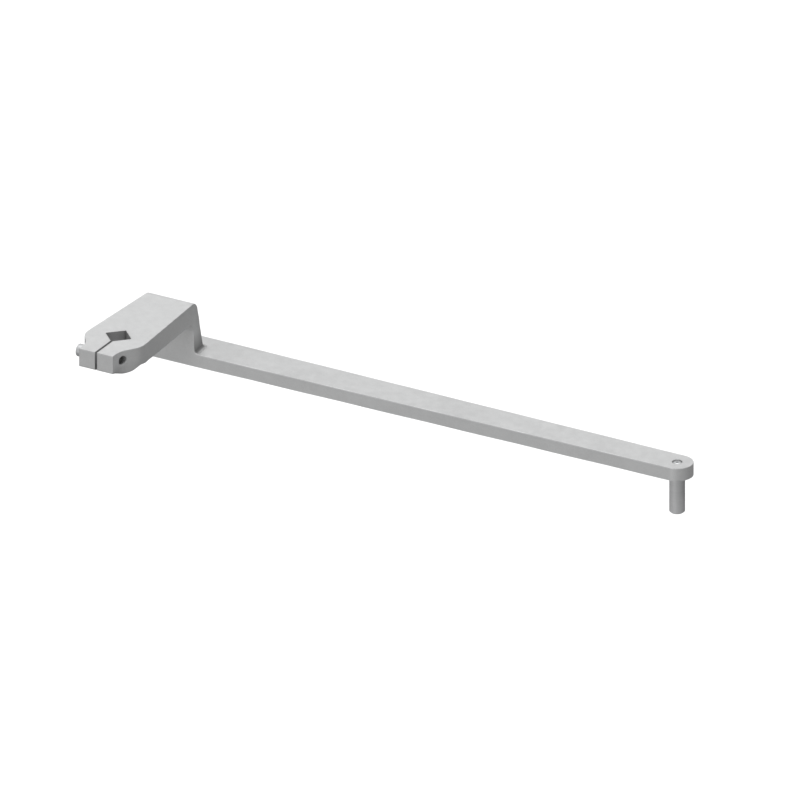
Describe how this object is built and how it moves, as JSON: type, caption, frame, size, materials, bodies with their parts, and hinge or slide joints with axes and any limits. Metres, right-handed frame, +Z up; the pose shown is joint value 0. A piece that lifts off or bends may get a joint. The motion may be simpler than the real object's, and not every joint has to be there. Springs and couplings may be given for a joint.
{
  "type": "gate opener arm",
  "caption": "Cranked lever arm with a split square-socket clamp head, a raised flat tapered bar and a steel drive pin at the far end.",
  "frame": {"origin": "axis of the square shaft socket, at the head's top face", "axes": "+X along the bar from the head towards the pin, +Y from the clamp's open end towards the riser, +Z up out of the head's top face; the pin points down"},
  "size_m": [0.624, 0.1882, 0.1093],
  "materials": {
    "cast_metal": "fine matte cast surface, light grey",
    "turned_steel": "turned, satin",
    "plated_steel": "zinc plated, satin"
  },
  "bodies": {
    "arm": {"arm_casting": "cast_metal", "pivot_pin": "turned_steel"},
    "clamp_washer": {"clamp_lock_washer": "plated_steel"},
    "clamp_bolt": {"clamp_screw": "plated_steel"},
    "pin_washer": {"pin_lock_washer": "plated_steel"},
    "pin_bolt": {"pin_screw": "plated_steel"}
  },
  "joints": [
    {"name": "clamp_screw_travel", "type": "slide", "parent": "arm", "child": "clamp_washer", "axis": [-1, 0, 0], "range_m": [0, 0.01225]},
    {"name": "clamp_screw_turn", "type": "hinge", "parent": "clamp_washer", "child": "clamp_bolt", "pos_m": [-0.019, -0.0293, -0.0102], "axis": [-1, 0, 0], "range_deg": [0, 3530]},
    {"name": "pin_screw_travel", "type": "slide", "parent": "arm", "child": "pin_washer", "axis": [0, 0, 1], "range_m": [0, 0.012]},
    {"name": "pin_screw_turn", "type": "hinge", "parent": "pin_washer", "child": "pin_bolt", "pos_m": [0.5745, 0.1223, -0.0586], "axis": [0, 0, 1], "range_deg": [0, 5402]}
  ],
  "couplings": [
    {"joint": "clamp_screw_turn", "follows": "clamp_screw_travel", "rad_per_m": 5026.5},
    {"joint": "pin_screw_turn", "follows": "pin_screw_travel", "rad_per_m": 7854}
  ]
}
